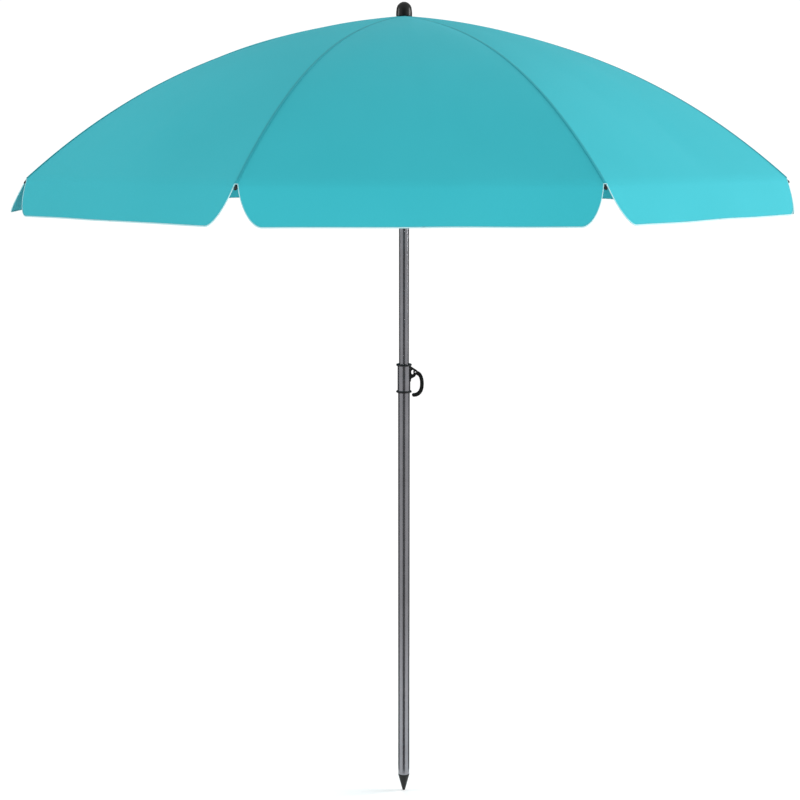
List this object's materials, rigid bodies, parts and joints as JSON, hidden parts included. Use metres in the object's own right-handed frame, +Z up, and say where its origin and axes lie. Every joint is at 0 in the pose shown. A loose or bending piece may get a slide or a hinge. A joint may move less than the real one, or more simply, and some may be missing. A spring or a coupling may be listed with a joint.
{
  "type": "beach umbrella",
  "caption": "Beach umbrella with a turquoise cloth canopy on a folding wire frame, a two-part pole with a clamp lever and a pointed foot for sand.",
  "frame": {"origin": "the flat point of the ground spike, on the pole's axis", "axes": "+Z up the pole; the clamp lever faces +X; the middle of one canopy gore faces -Y"},
  "size_m": [1.5602, 1.5602, 1.7802],
  "materials": {
    "turquoise_cloth": "woven polyester, matt",
    "grey_coated_tube": "smooth grey coating with a metal glint, semi-gloss",
    "galvanised_wire": "dull galvanised",
    "black_plastic": "moulded, semi-gloss",
    "dark_plastic": "moulded, satin",
    "dark_steel": "blackened"
  },
  "bodies": {
    "lower_pole": {"lower_tube": "grey_coated_tube", "ground_spike": "black_plastic", "collar_shell": "grey_coated_tube", "collar_bottom_ring": "dark_plastic", "collar_bush": "dark_plastic", "lever_bracket": "black_plastic", "lever_rivet": "dark_steel"},
    "clamp_lever": {"clamp_lever": "black_plastic"},
    "clamp_shoe": {"clamp_shoe": "dark_plastic"},
    "upper_pole": {"upper_tube": "grey_coated_tube", "tube_foot": "dark_plastic", "crown_hub": "black_plastic", "crown_wire": "galvanised_wire", "crown_washer": "dark_plastic", "finial_cap": "black_plastic"},
    "runner_catch": {"runner_catch": "dark_steel"},
    "runner": {"runner": "black_plastic", "runner_wire": "galvanised_wire"},
    "rib_1": {"rib_1": "galvanised_wire", "rib_tip_1": "dark_plastic", "rib_clip_1": "dark_steel", "canopy_panel_1": "turquoise_cloth"},
    "rib_2": {"rib_2": "galvanised_wire", "rib_tip_2": "dark_plastic", "rib_clip_2": "dark_steel", "canopy_panel_2": "turquoise_cloth"},
    "rib_3": {"rib_3": "galvanised_wire", "rib_tip_3": "dark_plastic", "rib_clip_3": "dark_steel", "canopy_panel_3": "turquoise_cloth"},
    "rib_4": {"rib_4": "galvanised_wire", "rib_tip_4": "dark_plastic", "rib_clip_4": "dark_steel", "canopy_panel_4": "turquoise_cloth"},
    "rib_5": {"rib_5": "galvanised_wire", "rib_tip_5": "dark_plastic", "rib_clip_5": "dark_steel", "canopy_panel_5": "turquoise_cloth"},
    "rib_6": {"rib_6": "galvanised_wire", "rib_tip_6": "dark_plastic", "rib_clip_6": "dark_steel", "canopy_panel_6": "turquoise_cloth"},
    "rib_7": {"rib_7": "galvanised_wire", "rib_tip_7": "dark_plastic", "rib_clip_7": "dark_steel", "canopy_panel_7": "turquoise_cloth"},
    "rib_8": {"rib_8": "galvanised_wire", "rib_tip_8": "dark_plastic", "rib_clip_8": "dark_steel", "canopy_panel_8": "turquoise_cloth"},
    "stretcher_1": {"stretcher_1": "galvanised_wire"},
    "stretcher_2": {"stretcher_2": "galvanised_wire"},
    "stretcher_3": {"stretcher_3": "galvanised_wire"},
    "stretcher_4": {"stretcher_4": "galvanised_wire"},
    "stretcher_5": {"stretcher_5": "galvanised_wire"},
    "stretcher_6": {"stretcher_6": "galvanised_wire"},
    "stretcher_7": {"stretcher_7": "galvanised_wire"},
    "stretcher_8": {"stretcher_8": "galvanised_wire"}
  },
  "joints": [
    {"name": "height_slide", "type": "slide", "parent": "lower_pole", "child": "upper_pole", "axis": [0, 0, 1], "range_m": [-0.065, 0.13]},
    {"name": "clamp_lever_hinge", "type": "hinge", "parent": "lower_pole", "child": "clamp_lever", "pos_m": [0.0252, 0, 0.983], "axis": [0, -1, 0], "range_deg": [0, 55]},
    {"name": "shoe_slide", "type": "slide", "parent": "lower_pole", "child": "clamp_shoe", "axis": [1, 0, 0], "range_m": [0, 0.0006]},
    {"name": "runner_slide", "type": "slide", "parent": "upper_pole", "child": "runner", "axis": [0, 0, -1], "range_m": [0, 0.2955], "deforming": ["canopy_panel_1", "canopy_panel_2", "canopy_panel_3", "canopy_panel_4", "canopy_panel_5", "canopy_panel_6", "canopy_panel_7", "canopy_panel_8", "runner_catch"]},
    {"name": "catch_press", "type": "slide", "parent": "upper_pole", "child": "runner_catch", "axis": [-1, 0, 0], "range_m": [0, 0.0045], "stiffness_N_per_m": 600},
    {"name": "rib_hinge_1", "type": "hinge", "parent": "upper_pole", "child": "rib_1", "pos_m": [0.01802, 0.00746, 1.7415], "axis": [-0.3827, 0.9239, 0], "range_deg": [0, 62.1]},
    {"name": "rib_hinge_2", "type": "hinge", "parent": "upper_pole", "child": "rib_2", "pos_m": [0.00746, 0.01802, 1.7415], "axis": [-0.9239, 0.3827, 0], "range_deg": [0, 62.1]},
    {"name": "rib_hinge_3", "type": "hinge", "parent": "upper_pole", "child": "rib_3", "pos_m": [-0.00746, 0.01802, 1.7415], "axis": [-0.9239, -0.3827, 0], "range_deg": [0, 62.1]},
    {"name": "rib_hinge_4", "type": "hinge", "parent": "upper_pole", "child": "rib_4", "pos_m": [-0.01802, 0.00746, 1.7415], "axis": [-0.3827, -0.9239, 0], "range_deg": [0, 62.1]},
    {"name": "rib_hinge_5", "type": "hinge", "parent": "upper_pole", "child": "rib_5", "pos_m": [-0.01802, -0.00746, 1.7415], "axis": [0.3827, -0.9239, 0], "range_deg": [0, 62.1]},
    {"name": "rib_hinge_6", "type": "hinge", "parent": "upper_pole", "child": "rib_6", "pos_m": [-0.00746, -0.01802, 1.7415], "axis": [0.9239, -0.3827, 0], "range_deg": [0, 62.1]},
    {"name": "rib_hinge_7", "type": "hinge", "parent": "upper_pole", "child": "rib_7", "pos_m": [0.00746, -0.01802, 1.7415], "axis": [0.9239, 0.3827, 0], "range_deg": [0, 62.1]},
    {"name": "rib_hinge_8", "type": "hinge", "parent": "upper_pole", "child": "rib_8", "pos_m": [0.01802, -0.00746, 1.7415], "axis": [0.3827, 0.9239, 0], "range_deg": [0, 62.1]},
    {"name": "stretcher_hinge_1", "type": "hinge", "parent": "runner", "child": "stretcher_1", "pos_m": [0.01802, 0.00746, 1.4215], "axis": [0.3827, -0.9239, 0], "range_deg": [0, 33.53]},
    {"name": "stretcher_hinge_2", "type": "hinge", "parent": "runner", "child": "stretcher_2", "pos_m": [0.00746, 0.01802, 1.4215], "axis": [0.9239, -0.3827, 0], "range_deg": [0, 33.53]},
    {"name": "stretcher_hinge_3", "type": "hinge", "parent": "runner", "child": "stretcher_3", "pos_m": [-0.00746, 0.01802, 1.4215], "axis": [0.9239, 0.3827, 0], "range_deg": [0, 33.53]},
    {"name": "stretcher_hinge_4", "type": "hinge", "parent": "runner", "child": "stretcher_4", "pos_m": [-0.01802, 0.00746, 1.4215], "axis": [0.3827, 0.9239, 0], "range_deg": [0, 33.53]},
    {"name": "stretcher_hinge_5", "type": "hinge", "parent": "runner", "child": "stretcher_5", "pos_m": [-0.01802, -0.00746, 1.4215], "axis": [-0.3827, 0.9239, 0], "range_deg": [0, 33.53]},
    {"name": "stretcher_hinge_6", "type": "hinge", "parent": "runner", "child": "stretcher_6", "pos_m": [-0.00746, -0.01802, 1.4215], "axis": [-0.9239, 0.3827, 0], "range_deg": [0, 33.53]},
    {"name": "stretcher_hinge_7", "type": "hinge", "parent": "runner", "child": "stretcher_7", "pos_m": [0.00746, -0.01802, 1.4215], "axis": [-0.9239, -0.3827, 0], "range_deg": [0, 33.53]},
    {"name": "stretcher_hinge_8", "type": "hinge", "parent": "runner", "child": "stretcher_8", "pos_m": [0.01802, -0.00746, 1.4215], "axis": [-0.3827, -0.9239, 0], "range_deg": [0, 33.53]}
  ],
  "couplings": [
    {"joint": "shoe_slide", "follows": "clamp_lever_hinge", "m_per_rad": 0.00062},
    {"joint": "rib_hinge_1", "follows": "runner_slide", "rad_per_m": 3.6676},
    {"joint": "rib_hinge_2", "follows": "runner_slide", "rad_per_m": 3.6676},
    {"joint": "rib_hinge_3", "follows": "runner_slide", "rad_per_m": 3.6676},
    {"joint": "rib_hinge_4", "follows": "runner_slide", "rad_per_m": 3.6676},
    {"joint": "rib_hinge_5", "follows": "runner_slide", "rad_per_m": 3.6676},
    {"joint": "rib_hinge_6", "follows": "runner_slide", "rad_per_m": 3.6676},
    {"joint": "rib_hinge_7", "follows": "runner_slide", "rad_per_m": 3.6676},
    {"joint": "rib_hinge_8", "follows": "runner_slide", "rad_per_m": 3.6676},
    {"joint": "stretcher_hinge_1", "follows": "runner_slide", "rad_per_m": 1.9798},
    {"joint": "stretcher_hinge_2", "follows": "runner_slide", "rad_per_m": 1.9798},
    {"joint": "stretcher_hinge_3", "follows": "runner_slide", "rad_per_m": 1.9798},
    {"joint": "stretcher_hinge_4", "follows": "runner_slide", "rad_per_m": 1.9798},
    {"joint": "stretcher_hinge_5", "follows": "runner_slide", "rad_per_m": 1.9798},
    {"joint": "stretcher_hinge_6", "follows": "runner_slide", "rad_per_m": 1.9798},
    {"joint": "stretcher_hinge_7", "follows": "runner_slide", "rad_per_m": 1.9798},
    {"joint": "stretcher_hinge_8", "follows": "runner_slide", "rad_per_m": 1.9798}
  ]
}
